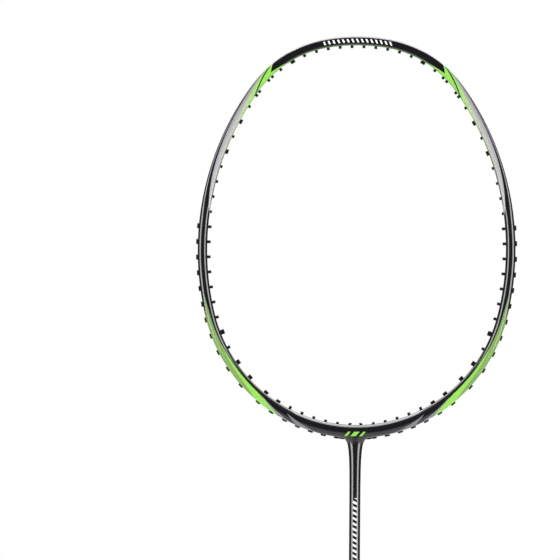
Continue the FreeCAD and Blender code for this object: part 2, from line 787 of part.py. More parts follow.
def build_tape_form():
    """Outer shape of the finishing tape: around the grip's end, then in onto the cone."""
    body = new_body("tape_form")
    outer = "grip_thickness + tape_thickness"
    tube = new_sketch(body, "tape_outline", "XY_Plane", "tape_bottom")
    add_octagon(tube, outer)
    add_feature(body, "Pad", "tape_tube", tube, Length="grip_top - tape_bottom")
    mouth = new_sketch(body, "tape_mouth", "XY_Plane", "grip_top")
    add_octagon(mouth, outer)
    rim = new_sketch(body, "tape_rim", "XY_Plane", "grip_top + 2 * grip_thickness")
    add_octagon(rim, "tape_thickness")
    close = body.newObject("PartDesign::AdditiveLoft", "tape_close")
    close.Profile = mouth
    close.Sections = [rim]
    doc.recompute()
    return body


# ---------------------------------------------------------------- assembly

kinds = {name: build_grommet(name, *shape) for name, shape in KINDS.items()}
drills = {False: build_drill("drill_round"), True: build_drill("drill_wide", "wide_stretch")}
groups, cutters = lay_out_grommets(kinds, drills)
doc.recompute()
parts = {label: compound(label, links) for label, links in groups.items()}

t_joint_blank = build_t_joint()
frame_blank = boolean("Fuse", "frame_blank", build_band(), build_neck())
all_holes = compound("all_holes", cutters)
frame_tools = compound("frame_tools", cutters + [t_joint_blank, parts["grommets_neck"]])
parts["head_frame"] = boolean("Cut", "head_frame", frame_blank, frame_tools)
parts["t_joint"] = boolean("Cut", "t_joint", t_joint_blank, all_holes)
parts["shaft"] = build_shaft()

staple = build_staple()
parts["grip_staple"] = staple
parts["handle_core"] = boolean("Cut", "handle_core", build_core(), staple)
parts["butt_cap"] = build_butt_cap()
parts["butt_badge"] = build_badge()
parts["cone_cap"] = build_cone()

handle_form = build_handle_form("handle_form", "0 * core_width", "grip_top")
grip_form = build_handle_form("grip_form", "grip_thickness", "grip_top")
grip_inside = compound("grip_inside", [handle_form, staple])
parts["base_grip"] = boolean("Cut", "base_grip", grip_form, grip_inside)
tape_bore = doc.addObject("Part::Cylinder", "tape_bore")
bind(tape_bore, Radius="cone_base", Height="cone_height", Placement__Base__z="core_top")
tape_inside = compound("tape_inside", [grip_form, tape_bore])
parts["finishing_tape"] = boolean("Cut", "finishing_tape", build_tape_form(), tape_inside)
doc.removeObject(reading.Name)
doc.recompute()

failed = [item.Name for item in doc.Objects if {"Invalid", "Error"} & set(item.State)]
for label, part in parts.items():
    if part.Shape.isNull() or not part.Shape.isValid():
        failed.append(label)
if failed:
    raise RuntimeError("not built: " + ", ".join(failed))

os.makedirs("parts", exist_ok=True)
for label, part in parts.items():
    part.Shape.exportStep(f"parts/{label}.step")
    solids = part.Shape.Solids
    box = part.Shape.BoundBox
    print(f"{label}: {len(solids)} solids, {part.Shape.Volume:.1f} mm3, "
          f"{box.XLength:.1f} x {box.YLength:.1f} x {box.ZLength:.1f}")
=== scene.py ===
import math

import bpy
import numpy as np
from mathutils import Matrix, Vector


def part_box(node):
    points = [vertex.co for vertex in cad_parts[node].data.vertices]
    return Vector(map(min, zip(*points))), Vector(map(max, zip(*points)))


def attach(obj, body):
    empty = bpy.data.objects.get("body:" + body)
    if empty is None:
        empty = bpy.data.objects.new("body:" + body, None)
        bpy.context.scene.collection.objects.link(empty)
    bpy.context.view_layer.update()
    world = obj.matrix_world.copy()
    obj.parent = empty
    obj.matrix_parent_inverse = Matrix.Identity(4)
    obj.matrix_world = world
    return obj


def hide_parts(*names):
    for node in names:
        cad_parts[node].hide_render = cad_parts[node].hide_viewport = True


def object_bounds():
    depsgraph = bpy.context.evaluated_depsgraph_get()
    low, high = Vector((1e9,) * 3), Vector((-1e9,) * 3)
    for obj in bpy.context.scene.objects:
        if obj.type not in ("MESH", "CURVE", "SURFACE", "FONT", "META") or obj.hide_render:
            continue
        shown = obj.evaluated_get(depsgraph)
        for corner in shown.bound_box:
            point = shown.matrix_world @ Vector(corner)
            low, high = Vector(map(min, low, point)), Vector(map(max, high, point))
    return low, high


# An unstrung badminton racket: its painted head and neck, grip, tape, cone and badge are made
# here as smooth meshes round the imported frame, and every other part keeps its CAD mesh.
# Shapes are written in millimetres in the row frame and scaled to metres as meshes are made.

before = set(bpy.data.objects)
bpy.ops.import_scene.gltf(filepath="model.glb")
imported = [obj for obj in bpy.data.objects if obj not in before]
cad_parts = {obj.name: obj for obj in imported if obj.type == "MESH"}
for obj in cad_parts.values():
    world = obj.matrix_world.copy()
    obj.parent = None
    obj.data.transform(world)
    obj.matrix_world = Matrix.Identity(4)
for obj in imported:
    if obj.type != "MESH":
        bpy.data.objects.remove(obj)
cad_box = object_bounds()
MM = 0.001
AWAY = 9.0  # an inward distance past any part of the band, for paint that covers all of it


def box_mm(node):
    low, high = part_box(node)
    return np.array(low) / MM, np.array(high) / MM


# ---------------------------------------------------------------- node helpers

MIX_COLOURS, MIX_RESULT = (6, 7), 2  # a Mix node's colour sockets, by number


class Value:
    """A socket in a node tree that is added, multiplied and compared like a number."""

    def __init__(self, tree, socket):
        self.tree, self.socket = tree, socket

    def do(self, operation, *others, clamp=False):
        node = self.tree.new("ShaderNodeMath", operation=operation, use_clamp=clamp)
        for number, item in enumerate((self, *others)):
            self.tree.put(node.inputs[number], item)
        return Value(self.tree, node.outputs[0])

    def __add__(self, other):
        return self.do("ADD", other)

    def __sub__(self, other):
        return self.do("SUBTRACT", other)

    def __mul__(self, other):
        return self.do("MULTIPLY", other)

    def __truediv__(self, other):
        return self.do("DIVIDE", other)

    def __neg__(self):
        return self * -1.0

    def __abs__(self):
        return self.do("ABSOLUTE")

    def fraction(self):
        return self.do("FRACT")

    def over(self, edge, soft):
        """0 below the edge and 1 above it, with a ramp of width soft between."""
        return ((self - edge) / soft).do("ADD", 0.5, clamp=True)

    def under(self, edge, soft):
        """1 below the edge and 0 above it, with a ramp of width soft between."""
        return (-self).over(-edge, soft)

    def ramp(self, start, end, low=0.0, high=1.0):
        node = self.tree.new("ShaderNodeMapRange")
        for name, item in zip(("From Min", "From Max", "To Min", "To Max"), (start, end, low, high)):
            node.inputs[name].default_value = item
        self.tree.put(node.inputs["Value"], self)
        return Value(self.tree, node.outputs[0])

    def profile(self, *points):
        """Straight pieces through (position, height) points, level before and after them."""
        total = None
        for (start, low), (end, high) in zip(points, points[1:]):
            step = self.ramp(start, end, 0.0 if total else low, high - low if total else high)
            total = total + step if total else step
        return total


class Tree:
    """A new material with one Principled shader, and short ways to add nodes to it."""

    def __init__(self, name, **shader):
        self.material = bpy.data.materials.new(name)
        self.material.use_nodes = True
        self.nodes = self.material.node_tree.nodes
        self.links = self.material.node_tree.links
        self.shader = self.nodes["Principled BSDF"]
        for socket, value in shader.items():
            self.set(socket, value)

    def set(self, socket, value):
        self.put(self.shader.inputs[socket.replace("_", " ")], value)

    def new(self, kind, **settings):
        node = self.nodes.new(kind)
        for name, value in settings.items():
            setattr(node, name, value)
        return node

    def put(self, socket, item):
        if isinstance(item, Value):
            self.links.new(item.socket, socket)
        elif socket.type == "RGBA":
            socket.default_value = (*item, 1.0)
        else:
            socket.default_value = item

    def attribute(self, name):
        return Value(self, self.new("ShaderNodeAttribute", attribute_name=name).outputs["Fac"])

    def place(self):
        """Object coordinates in millimetres."""
        node = self.new("ShaderNodeTexCoord")
        scale = self.new("ShaderNodeVectorMath", operation="SCALE")
        self.links.new(node.outputs["Object"], scale.inputs[0])
        scale.inputs["Scale"].default_value = 1 / MM
        return Value(self, scale.outputs[0])

    def split(self, vector):
        """The x, y and z of a vector."""
        node = self.new("ShaderNodeSeparateXYZ")
        self.put(node.inputs[0], vector)
        return [Value(self, item) for item in node.outputs]

    def stretched(self, vector, x, y, z):
        node = self.new("ShaderNodeVectorMath", operation="MULTIPLY")
        self.put(node.inputs[0], vector)
        node.inputs[1].default_value = (x, y, z)
        return Value(self, node.outputs[0])

    def noise(self, vector, size, detail=2.0, roughness=0.5):
        """Noise from 0 to 1 with features of about the given size in millimetres."""
        node = self.new("ShaderNodeTexNoise")
        self.put(node.inputs["Vector"], vector)
        node.inputs["Scale"].default_value = 1 / size
        node.inputs["Detail"].default_value = detail
        node.inputs["Roughness"].default_value = roughness
        return Value(self, node.outputs[0])

    def cells(self, vector, size):
        """Distance to the nearest of scattered points that are about the given size apart."""
        node = self.new("ShaderNodeTexVoronoi")
        self.put(node.inputs["Vector"], vector)
        node.inputs["Scale"].default_value = 1 / size
        return Value(self, node.outputs["Distance"])

    def mix(self, share, low, high):
        node = self.new("ShaderNodeMix", data_type="RGBA")
        self.put(node.inputs["Factor"], share)
        for socket, item in zip(MIX_COLOURS, (low, high)):
            self.put(node.inputs[socket], item)
        return Value(self, node.outputs[MIX_RESULT])

    def bump(self, height, distance):
        """Bump whose height of 1 stands that many millimetres proud."""
        node = self.new("ShaderNodeBump")
        node.inputs["Distance"].default_value = distance * MM
        self.put(node.inputs["Height"], height)
        self.set("Normal", Value(self, node.outputs[0]))


# ---------------------------------------------------------------- mesh helpers


def make_object(name, points, faces, material, sharp=35):
    mesh = bpy.data.meshes.new(name)
    mesh.from_pydata((np.asarray(points) * MM).tolist(), [], faces)
    mesh.validate()
    mesh.shade_smooth()
    mesh.set_sharp_from_angle(angle=math.radians(sharp))
    mesh.materials.append(material)
    made = bpy.data.objects.new(name, mesh)
    bpy.context.scene.collection.objects.link(made)
    return made


def grid_faces(rows, columns, first=0, round_rows=False):
    """Quads of a grid of points whose columns close on themselves."""
    faces = []
    for row in range(rows if round_rows else rows - 1):
        below, above = first + row * columns, first + (row + 1) % rows * columns
        for column in range(columns):
            after = (column + 1) % columns
            faces.append((below + column, below + after, above + after, above + column))
    return faces


def rings_to_solid(rings, first=0):
    """Points and faces of closed rings joined in order, with a fan over each end."""
    rings = np.asarray(rings)
    rows, columns = rings.shape[:2]
    points = rings.reshape(-1, 3).tolist()
    faces = grid_faces(rows, columns, first)
    for row, turned in ((0, True), (rows - 1, False)):
        centre = first + len(points)
        points.append(rings[row].mean(0).tolist())
        start = first + row * columns
        for column in range(columns):
            edge = (start + column, start + (column + 1) % columns)
            faces.append((edge[1], edge[0], centre) if turned else (*edge, centre))
    return points, faces


def even_turns(count):
    """That many even steps round a circle, in radians."""
    return np.linspace(0, 2 * math.pi, count, endpoint=False)


def ring(radius, turns, height):
    """Closed ring of points about Z at a height."""
    return np.stack([radius * np.cos(turns), radius * np.sin(turns), np.full(len(turns), height)], 1)


def rings_to_tube(rings):
    """Points and faces of closed rings joined in order, the last one to the first."""
    rings = np.asarray(rings)
    return rings.reshape(-1, 3).tolist(), grid_faces(*rings.shape[:2], round_rows=True)


def turned_solid(name, outline, material, segments=96):
    """Solid of revolution about Z from (radius, height) points."""
    turns = even_turns(segments)
    rings = [ring(radius, turns, height) for radius, height in outline]
    return make_object(name, *rings_to_solid(rings), material)


def fit(piece, node):
    """The piece stands for that node, which is hidden, and hangs from the root body."""
    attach(piece, "root")
    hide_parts(node)


# ---------------------------------------------------------------- head outline and band

# the head's outer edge on each side: radius in millimetres and turn in degrees, from the top
HEAD_ARCS = ((121.4, 9.0), (73.5, 45.1), (178.1, 50.1), (100.7, 65.1))
HALF_TURN = math.pi
BAND_WIDTH, BAND_LIFT, BAND_DEPTH, THROAT_SWELL = 6.0, 0.6, 10.5, 2.6
CAP_HEIGHT = 3.0  # depth of the band's rounded front and back
FACE_POINTS, WALL_POINTS = 37, 7  # over each rounded face, and down the inner wall
SQUARENESS = ((0, 4.2), (130, 3.9), (166, 2.1), (400, 2.0))  # superellipse power at lengths along
GROOVE_DEPTH, GROOVE_HALF = 1.4, 1.7
GROOVE_TURN, GROOVE_RUNOUT = 29.0, 3.6  # it fades out past that heading, over that length
LIP_LEVELS = (1.95, GROOVE_HALF + 0.06)  # points beside the groove, from the middle plane
FLOOR_LEVELS = (GROOVE_HALF, 1.1, 0.0, -1.1, -GROOVE_HALF)
SEARCH_STEP = 0.05
HEAD_SPACING = 0.7  # length between the band's rings
NECK_PAINT = 8  # the neck is painted as the band is this far from the bottom

head_top = box_mm("head_frame")[1][2]


class Outline:
    """One edge of the head: a chain of arcs from the top centre down one side."""

    def __init__(self, top, radii):
        self.arcs = []  # heading at its start, radius, start point, length before it
        point, heading, length = np.array([0.0, top]), 0.0, 0.0
        for number in range(len(radii) + 1):
            if number < len(radii):
                radius, turn = radii[number], math.radians(HEAD_ARCS[number][1])
            else:  # the throat's arc closes the outline on the middle line
                turn = HALF_TURN - heading
                radius = point[0] / math.sin(heading)
            self.arcs.append((heading, radius, point, length))
            point = self.on_arc(self.arcs[-1], heading + turn)
            heading, length = heading + turn, length + radius * turn
        self.length, self.bottom = length, point[1]

    @staticmethod
    def on_arc(arc, heading):
        start, radius, point, _ = arc
        step = [math.sin(heading) - math.sin(start), math.cos(heading) - math.cos(start)]
        return point + radius * np.array(step)

    def facing(self, heading):
        """Point on the right side where the edge's outward normal has that heading."""
        arc = max((arc for arc in self.arcs if arc[0] <= heading + 1e-9), key=lambda arc: arc[0])
        return self.on_arc(arc, heading)

    def at(self, along):
        """Point and heading at a length from the top centre, on the right side."""
        arc = max((arc for arc in self.arcs if arc[3] <= along + 1e-9), key=lambda arc: arc[3])
        heading = min(arc[0] + (along - arc[3]) / arc[1], HALF_TURN)
        return self.on_arc(arc, heading), heading


outer_radii = [radius for radius, _ in HEAD_ARCS]
inner_radii = [radius - BAND_WIDTH for radius in outer_radii]
inner_radii[-1] -= THROAT_SWELL
head = Outline(head_top, outer_radii)
inside = Outline(head_top - BAND_WIDTH + BAND_LIFT, inner_radii)


def band_width(heading):
    """Width of the band where both of its edges have that heading."""
    gap = head.facing(heading) - inside.facing(heading)
    return gap[0] * math.sin(heading) + gap[1] * math.cos(heading)


def band_section(width, groove, squareness):
    """(inward, depth) points round the band: front, inner wall, back, outer wall."""
    half, wall = width / 2, BAND_DEPTH / 2 - CAP_HEIGHT
    arc = np.radians(np.linspace(0, 180, FACE_POINTS))
    power = 2 / squareness
    front = [(half - half * math.copysign(abs(math.cos(a)) ** power, math.cos(a)),
              -wall - CAP_HEIGHT * math.sin(a) ** power) for a in arc]
    inner = [(width, y) for y in np.linspace(-wall, wall, WALL_POINTS)[1:-1]]
    back = [(o, -y) for o, y in reversed(front)]
    lip = [(0.0, y) for y in LIP_LEVELS]
    floor = [(groove, y) for y in FLOOR_LEVELS]
    return front + inner + back + lip + floor + [(0.0, -y) for _, y in reversed(lip)]


def band_rings(stations):
    """Rings of the band at signed lengths from the top centre, with their paint coordinates."""
    lengths = np.arange(0, head.length, SEARCH_STEP)
    groove_end = next(s for s in lengths if head.at(s)[1] >= math.radians(GROOVE_TURN))
    rings, along, inward = [], [], []
    for station in stations:
        (x, z), heading = head.at(abs(station))
        out = np.array([math.sin(heading), math.cos(heading)])
        share = min(max(1 - (abs(station) - groove_end) / GROOVE_RUNOUT, 0), 1)
        squareness = np.interp(abs(station), *zip(*SQUARENESS))
        section = band_section(band_width(heading), GROOVE_DEPTH * share, squareness)
        side = -1 if station < 0 else 1
        rings.append([(side * (x - o * out[0]), y, z - o * out[1]) for o, y in section])
        along.append([abs(station)] * len(section))
        inward.append([o for o, _ in section])
    return np.array(rings), np.array(along), np.array(inward)


# ---------------------------------------------------------------- neck

NECK_LENGTH, SHAFT_RADIUS = 36.0, 3.5
NECK_SPREAD, NECK_FADE = (2.4, 1.22), (7, 9)  # across and through: most added, length it fades in
NECK_COLUMNS, NECK_ROWS, FILLET_ROWS = 72, 40, 25
FILLET_START, FILLET_REACH = 5.5, 10.0  # below the head's edge, and out along it
FILLET_PULLS = (0.48, 0.42)  # how far its curve follows its two ends, as shares of its chord
NECK_ROOT = (0.7, 0.5, 0.3)  # its last ring, hidden in the band, as shares of the one before


def neck_half(level):
    """Half width and half depth of the neck that far below the head's outer edge."""
    return [SHAFT_RADIUS + most * math.exp(-level / fade) for most, fade in zip(NECK_SPREAD, NECK_FADE)]


def neck_landing(turn):
    """Point and direction in which the neck's skin runs out on the band, for a turn round it."""
    across, through = math.cos(turn), math.sin(turn)
    width, wall = band_width(HALF_TURN), BAND_DEPTH / 2 - CAP_HEIGHT
    half = width / 2
    quarter = math.pi / 2 * math.sqrt((half**2 + CAP_HEIGHT**2) / 2)
    along = head.length - FILLET_REACH * abs(across)
    (x, z), heading = head.at(along)
    up = (wall + quarter) * abs(through)
    if up < wall:
        inward, depth, section = 0.0, up, (0.0, 1.0)
    else:
        angle = (up - wall) / quarter * math.pi / 2
        inward, depth = half * (1 - math.cos(angle)), wall + CAP_HEIGHT * math.sin(angle)
        section = np.array([half * math.sin(angle), CAP_HEIGHT * math.cos(angle)])
        section = section / np.linalg.norm(section)
    out = np.array([math.sin(heading), math.cos(heading)])
    side, face = math.copysign(1, across), math.copysign(1, through)
    point = np.array([side * (x - inward * out[0]), face * depth, z - inward * out[1]])
    outline = np.array([side * -math.cos(heading), 0.0, math.sin(heading)])
    upward = np.array([-side * section[0] * out[0], face * section[1], -section[0] * out[1]])
    course = outline * abs(across) / FILLET_REACH + upward * abs(through) / (wall + quarter)
    return point, course / np.linalg.norm(course)


def fillet_column(turn, shares):
    """Points up the fillet at one turn round the neck, from the neck's skin to the band's."""
    half = neck_half(FILLET_START)
    around = (math.cos(turn), math.sin(turn))
    start = np.array([half[0] * around[0], half[1] * around[1], head.bottom - FILLET_START])
    slope = [(size - SHAFT_RADIUS) / fade * part for size, fade, part in zip(half, NECK_FADE, around)]
    rise = np.array([*slope, 1.0])
    end, course = neck_landing(turn)
    reach = np.linalg.norm(end - start)
    leave, land = FILLET_PULLS
    knots = (start, start + rise / np.linalg.norm(rise) * reach * leave,
             end - course * reach * land, end)
    column = []
    for t in shares:
        weights = ((1 - t) ** 3, 3 * t * (1 - t) ** 2, 3 * t * t * (1 - t), t**3)
        column.append(sum(weight * knot for weight, knot in zip(weights, knots)))
    return column


def neck_rings():
    """Rings up the neck, over the fillet and on into the band, where the last one is hidden."""
    turns = even_turns(NECK_COLUMNS) + math.pi / NECK_COLUMNS
    rings = []
    for level in np.linspace(NECK_LENGTH, FILLET_START, NECK_ROWS):
        wide, deep = neck_half(level)
        rings.append([(wide * math.cos(t), deep * math.sin(t), head.bottom - level) for t in turns])
    shares = np.linspace(0, 1, FILLET_ROWS + 1)[1:]
    fillet = np.array([fillet_column(turn, shares) for turn in turns]).swapaxes(0, 1)
    middle = np.array([0.0, 0.0, head.bottom + band_width(HALF_TURN) / 2])
    root = middle + (fillet[-1] - middle) * np.array(NECK_ROOT)
    return np.concatenate([np.array(rings), fillet, root[None]])


# ---------------------------------------------------------------- paint

BLACK, DEEP_GREEN = (0.0052, 0.0045, 0.0068), (0.006, 0.03, 0.004)
LIME, PALE_LIME, OLIVE = (0.22, 0.53, 0.07), (0.33, 0.48, 0.19), (0.16, 0.29, 0.07)
SILVER, GREEN_GREY, STEEL = (0.40, 0.39, 0.41), (0.13, 0.19, 0.09), (0.17, 0.165, 0.175)
WHITE, GRAPHITE = (0.75, 0.75, 0.77), (0.011, 0.010, 0.013)
SHADED_SILVER, LIGHT_STEEL, HIGHLIT_GREEN = (0.25, 0.24, 0.26), (0.21, 0.20, 0.215), (0.13, 0.17, 0.10)
CRISP = 0.14  # width of a masked paint edge

# In the paint functions s is the length along the band from the top centre and o the distance
# inward from its outer edge, both in millimetres.


def slash(s, o, tip, near, far):
    """Mask of a pointed paint stroke: its tip on the band, its foot on the outer edge."""
    start, height = tip
    under = o.over(s.profile((start, height), (near, -0.3)), CRISP)
    within = s.profile((start, height), (far, -0.3)) - o
    return under * within.over(0.0, CRISP) * s.over(start, 0.3)


def paint_upper(tree, s, o):
    """Black crown, a lime flash with a dark stripe through it, then a long silver fade."""
    # the silver is painted darker towards the outer edge: painted shade
    silver = tree.mix(o.ramp(1.6, 4.8), SHADED_SILVER, SILVER)
    lime = tree.mix(s.ramp(68, 96), LIME, PALE_LIME)
    lime = tree.mix(s.ramp(98, 135), lime, GREEN_GREY)
    lime = tree.mix(s.ramp(132, 168), lime, BLACK)
    lime_edge = s.profile((60, -1.5), (66, 1.0), (100, 4.7), (130, 5.1), (155, 5.5), (170, 7))
    softness = s.profile((64, 0.3), (72, 1.1), (110, 1.0), (150, 0.7))
    body = tree.mix(o.over(lime_edge, softness), silver, lime)
    stripe_line = s.profile((60, 0.1), (81, 5.4))
    stripe = abs(o - stripe_line).under(0.42, CRISP) * s.over(59.5, 0.4) * s.under(82, 1.0)
    body = tree.mix(stripe, body, DEEP_GREEN)
    edge = s.profile((59, -0.4), (62, 0.25), (75, 0.7), (100, 1.4), (110, 1.6), (130, 2.1),
                     (140, 2.6), (150, 3.4), (160, 4.6), (176, AWAY))
    body = tree.mix(o.over(edge, 0.25), BLACK, body)
    crown = s.profile((44, AWAY), (48, 5.6), (63, 3.7), (64, -1.0))
    notch = s.profile((57.2, -0.5), (63, 3.7), (63.5, AWAY))
    rim = o.over(s.profile((50, 5.27), (56, AWAY)), CRISP)  # lime inner wall under the crown
    body = tree.mix((crown - o).over(0.0, CRISP) * o.over(notch, CRISP), body, BLACK)
    return tree.mix(rim, body, LIME)


def paint_lower(tree, s, o, colour):
    """Lime flash on the lower bend, darker on its outer bevel, and two grey strokes."""
    inner = s.profile((211, 1.4), (228, 2.9), (240, 3.4), (250, 3.8), (260, 4.2), (270, 4.4),
                      (280, 4.5), (292, 4.4), (303, 3.2), (313, -0.3))
    outer = s.profile((211, 1.6), (225, 1.0), (238, -0.3))
    flash = (inner - o).over(0.0, CRISP) * o.over(outer, 0.3)
    bevel = s.profile((244, 4.4), (262, 3.3), (274, 2.9), (285, 2.1), (296, -0.3))
    # the flash greys towards its upper end: a painted highlight over the olive paint
    highlit_olive = tree.mix(s.ramp(212, 244), HIGHLIT_GREEN, OLIVE)
    colour = tree.mix(flash, colour, tree.mix(o.over(bevel, 0.25), highlit_olive, LIME))
    colour = tree.mix(slash(s, o, (294, 4.8), 315, 324), colour, LIGHT_STEEL)
    return tree.mix(slash(s, o, (316, 4.3), 326, 341), colour, STEEL)


def ticks(position, across, pitch, width, slant):
    """Mask of a row of slanted bars."""
    cell = ((position + across * slant) / pitch).fraction()
    return abs(cell - 0.5).under(width / pitch / 2, 0.1 / pitch)


def between(value, low, high, soft=CRISP):
    """1 between the two edges and 0 outside them."""
    return value.over(low, soft) * value.under(high, soft)


def lacquer_finish(tree, point):
    """Clear coat over a smooth base: faint orange peel and hairline wear."""
    peel = tree.noise(point, 1.6, 2.0)
    scuffs = tree.noise(tree.stretched(point, 1.0, 1.0, 0.12), 0.35, 3.0)
    tree.set("Roughness", scuffs.ramp(0.3, 0.8, 0.22, 0.36))
    tree.bump(peel, 0.0015)


def frame_paint():
    tree = Tree("frame_lacquer_paint", Coat_Roughness=0.05, Specular_IOR_Level=0.25)
    s, o = tree.attribute("along"), tree.attribute("inward")
    point = tree.place()
    x, _, z = tree.split(point)
    colour = paint_lower(tree, s, o, paint_upper(tree, s, o))
    # a plain row of slanted bars on the crown, and one bar between two half ones on the throat
    row = ticks(x, o, 3.0, 1.15, -0.45) * between(o, 1.5, 3.7) * s.under(22.5, CRISP)
    colour = tree.mix(row, colour, WHITE)
    height = z - head.bottom
    pitch, slant = 5.6, -0.9
    ends = between(x + height * slant, -1.5 * pitch, 0.5 * pitch)
    mark = ticks(x, height, pitch, 3.4, slant) * between(height, 1.4, 4.2) * ends
    colour = tree.mix(mark, colour, LIME)
    flecks = tree.noise(point, 0.2, 2.0).ramp(0.35, 0.7, 0.95, 1.05)
    tinted = tree.new("ShaderNodeVectorMath", operation="SCALE")
    tree.put(tinted.inputs[0], colour)
    tree.put(tinted.inputs["Scale"], flecks)
    tree.set("Base_Color", Value(tree, tinted.outputs[0]))
    level = tree.new("ShaderNodeRGBToBW")  # the clear coat is thin over the metallic colours
    tree.put(level.inputs[0], colour)
    tree.set("Coat_Weight", Value(tree, level.outputs[0]).ramp(0.03, 0.1, 1.0, 0.25))
    lacquer_finish(tree, point)
    return tree.material


def shaft_paint():
    tree = Tree("shaft_lacquer_paint", Coat_Weight=1.0, Coat_Roughness=0.05,
                Specular_IOR_Level=0.25)
    point = tree.place()
    x, y, z = tree.split(point)
    # a plain row of slanted bars up the front
    row = ticks(z, x, 3.4, 1.5, 0.5) * between(x, -1.25, 1.25) * between(z, 300, 382)
    row = row * y.under(0.0, 0.1)
    shade = tree.mix(tree.noise(point, 3.0, 3.0), BLACK, GRAPHITE)
    tree.set("Base_Color", tree.mix(row, shade, WHITE))
    lacquer_finish(tree, point)
    return tree.material


def shaded(colour, share):
    return tuple(part * share for part in colour)


def moulded(name, colour, roughness, grain, depth, coat=0.0, specular=0.5):
    """Moulded plastic: a fine grain in the skin and slight changes of gloss."""
    tree = Tree(name, Coat_Weight=coat, Coat_Roughness=0.08, Specular_IOR_Level=specular)
    point = tree.place()
    shade = tree.noise(point, 6.0, 3.0)
    tree.set("Base_Color", tree.mix(shade, shaded(colour, 0.8), shaded(colour, 1.25)))
    gloss = tree.noise(point, 1.5, 3.0)
    tree.set("Roughness", gloss.ramp(0.3, 0.7, roughness - 0.06, roughness + 0.08))
    tree.bump(tree.noise(point, grain, 3.0), depth)
    return tree.material


def metal(name, colour, roughness, stretch):
    """Bare metal whose fine marks are drawn out along the axes with a small stretch."""
    tree = Tree(name, Metallic=1.0)
    point = tree.place()
    lines = tree.noise(tree.stretched(point, *stretch), 0.3, 4.0)
    tree.set("Base_Color", tree.mix(lines, shaded(colour, 0.85), colour))
    tree.set("Roughness", lines.ramp(0.3, 0.7, roughness - 0.08, roughness + 0.1))
    tree.bump(lines, 0.01)
    return tree.material


def bare_wood():
    tree = Tree("handle_wood_grain")
    point = tree.place()
    long_grain = tree.stretched(point, 1.0, 1.0, 0.04)
    rings = tree.noise(long_grain, 1.6, 4.0, 0.6)
    tree.set("Base_Color", tree.mix(rings.ramp(0.35, 0.65), (0.34, 0.2, 0.09), (0.6, 0.42, 0.24)))
    tree.set("Roughness", rings.ramp(0.3, 0.7, 0.55, 0.75))
    tree.bump(rings, 0.06)
    return tree.material


# ---------------------------------------------------------------- handle

CORE_HALVES = (11.3, 10.4, 10.96)  # from the axis to the sides, the front and the bevels
CORNER_POWER = 30  # the higher, the sharper the octagon's eased corners
GRIP_THICKNESS, TAPE_THICKNESS = 1.7, 0.35
FLARE = ((0.0, 2.5), (9.0, 0.875), (20.0, 0.0))  # height above the butt, spread there
FLARE_LEVELS = (20.0, 16.0, 12.0, 8.0, 4.0)  # rings down the sleeve's inside where it flares
GRIP_COLUMNS, GRIP_ROWS = 240, 330
GRIP_UNDER_TAPE = 6.0  # how far the grip goes on under the tape
BUTT_INSET, BUTT_ROUND = 0.9, 1.3  # the grip's lower edge: how far in, over how much height
# the strip's advance in a turn, then its lap: width, rise, and height over the grip's thickness
WRAP_PITCH, WRAP_LAP, LAP_RISE, LAP_PROUD = 21.0, 3.6, 0.5, 0.1
LAP_FRONT, LAP_BACK, WRAP_CROWN = 0.5, 2.2, 0.16  # how the lap rises and falls, and the crown
WAVES, WAVE_SEED, WAVE_HEIGHT = 6, 7, 0.02  # slow unevenness of a hand-wound strip
HOLES_A_TURN, HOLE_ROWS, HOLE_RADIUS = 26, 3.2, 0.5  # the rows are that far apart
HOLE_CIRCLE = 13.0  # the handle's radius, for the distance between holes in a row
SEAM_PLACE, SEAM_HALF = 1.1, 0.28  # the pressed line, from the strip's edge
TAPE_COLUMNS, TAPE_ROWS = 192, 64
TAPE_SET, TAPE_STEP = 0.12, 0.14  # the first turn's draw-in, and the second's rise over it
TAPE_THIN, TAPE_ROUND = 0.45, 0.5  # its lower edge: how much thinner, over how much height
TAPE_EDGE, TAPE_SLANT = 4.2, 3.2  # height of the second turn's edge, and how much that rises
TAPE_DRAWN, TAPE_INSET = 3.0, 1.0  # the stretch drawn in on the cone, and the hidden side's depth
CONE_RADII = (10.3, 7.2, 4.6)  # at its foot, its waist and its tip
GRIP_DARK, GRIP_LIGHT = (0.009, 0.009, 0.0105), (0.016, 0.016, 0.018)
GRIP_PEBBLE, GRIP_WORN = (0.012, 0.012, 0.0135), (0.028, 0.028, 0.03)
HOLE_PAINTED_SHADE = (0.003, 0.003, 0.003)
TAPE_DARK, TAPE_LIGHT = (0.012, 0.012, 0.013), (0.022, 0.022, 0.024)

grip_low, grip_high = box_mm("base_grip")
tape_low, tape_high = box_mm("finishing_tape")
cone_low, cone_high = box_mm("cone_cap")
badge_low, badge_high = box_mm("butt_badge")


def parabola(points, place):
    """Value at a place on the parabola through three (place, value) points."""
    total = 0
    for number, (start, term) in enumerate(points):
        for other, (level, _) in enumerate(points):
            if other != number:
                term = term * (place - level) / (start - level)
        total = total + term
    return total


def smooth(low, high, value):
    """0 below low and 1 above high, with an S-shaped rise between."""
    t = np.clip((value - low) / (high - low), 0, 1)
    return t * t * (3 - 2 * t)


def handle_radius(turn, grown):
    """Octagon with eased corners: its radius at a turn round the handle, grown all round."""
    side, front, bevel = (half + grown for half in CORE_HALVES)
    total = 0
    for number, distance in enumerate((side, bevel, front, bevel) * 2):
        reach = np.cos(turn - number * math.pi / 4) / distance
        total = total + np.clip(reach, 0, None) ** CORNER_POWER
    return total ** (-1 / CORNER_POWER)


def flare(height):
    """How far the handle spreads at that height above the butt."""
    return np.where(height < FLARE[-1][0], parabola(FLARE, height), 0)


def wrap_position(turn, height):
    """Distance across the wound strip, from its upper layer's edge, in millimetres."""
    return (height / WRAP_PITCH - turn / (2 * math.pi)) % 1 * WRAP_PITCH


